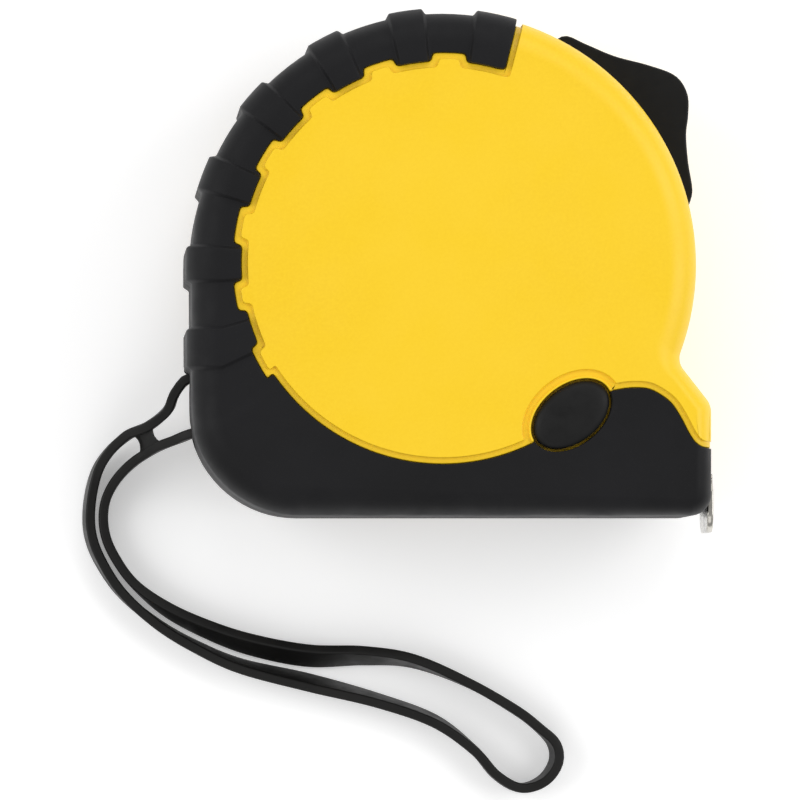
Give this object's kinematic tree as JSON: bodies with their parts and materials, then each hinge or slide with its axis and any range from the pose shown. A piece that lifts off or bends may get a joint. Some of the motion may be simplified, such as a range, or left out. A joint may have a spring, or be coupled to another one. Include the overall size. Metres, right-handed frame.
{
  "type": "tape measure",
  "caption": "Pocket tape measure with a ribbed rubber grip, thumb lock, side button, end hook, belt clip and a moulded wrist strap.",
  "frame": {"origin": "on the belt clip's flat outer face, straight under the reel's axis", "axes": "+Z from the clip side to the button side along the reel's axis, +X the way the blade comes out, +Y from the base to the top of the case"},
  "size_m": [0.0896, 0.1117, 0.0419],
  "materials": {
    "case_plastic": "fine satin texture, yellow",
    "grip_rubber": "soft matte, charcoal black",
    "strap_rubber": "moulded, slightly glossy",
    "button_rubber": "soft matte",
    "lock_plastic": "satin moulded",
    "inner_plastic": "natural moulded",
    "clip_steel": "bright plated",
    "screw_steel": "zinc plated",
    "hook_nickel": "nickel plated",
    "spring_steel": "blued",
    "blade_paint": "lacquered steel strip",
    "pad_felt": "felt"
  },
  "bodies": {
    "case": {"front_shell": "case_plastic", "rear_shell": "case_plastic", "front_grip": "grip_rubber", "rear_grip": "grip_rubber", "case_screw_corner": "screw_steel", "case_screw_nose": "screw_steel", "case_screw_top": "screw_steel", "belt_clip": "clip_steel", "clip_screw": "screw_steel", "spindle": "inner_plastic", "main_spring": "spring_steel", "hook_bumper": "grip_rubber", "strap_pin": "screw_steel", "wrist_strap": "strap_rubber", "button_spring": "spring_steel"},
    "reel": {"reel_drum": "inner_plastic", "reel_cover": "inner_plastic", "blade_coil": "blade_paint"},
    "blade": {"blade_tongue": "blade_paint", "hook_rivet_front": "hook_nickel", "hook_rivet_rear": "hook_nickel"},
    "hook": {"end_hook": "hook_nickel"},
    "lock": {"thumb_lock": "lock_plastic"},
    "button": {"side_button": "button_rubber", "brake_pad": "pad_felt"}
  },
  "joints": [
    {"name": "reel_spin", "type": "hinge", "parent": "case", "child": "reel", "pos_m": [0, 0, 0.023], "axis": [0, 0, 1], "range_deg": [0, 60], "stiffness_Nm_per_rad": 0.01, "springref_deg": -171.89},
    {"name": "blade_pull", "type": "slide", "parent": "case", "child": "blade", "axis": [1, 0, 0], "range_m": [0, 0.0293]},
    {"name": "hook_float", "type": "slide", "parent": "blade", "child": "hook", "axis": [1, 0, 0], "range_m": [0, 0.001]},
    {"name": "lock_slide", "type": "hinge", "parent": "case", "child": "lock", "pos_m": [0, 0, 0.023], "axis": [0, 0, 1], "range_deg": [-12, 0]},
    {"name": "button_press", "type": "slide", "parent": "case", "child": "button", "axis": [0, 0, -1], "range_m": [0, 0.0015], "stiffness_N_per_m": 400, "springref_m": -0.002, "deforming": ["button_spring"]}
  ],
  "couplings": [
    {"joint": "blade_pull", "follows": "reel_spin", "m_per_rad": 0.0279}
  ]
}
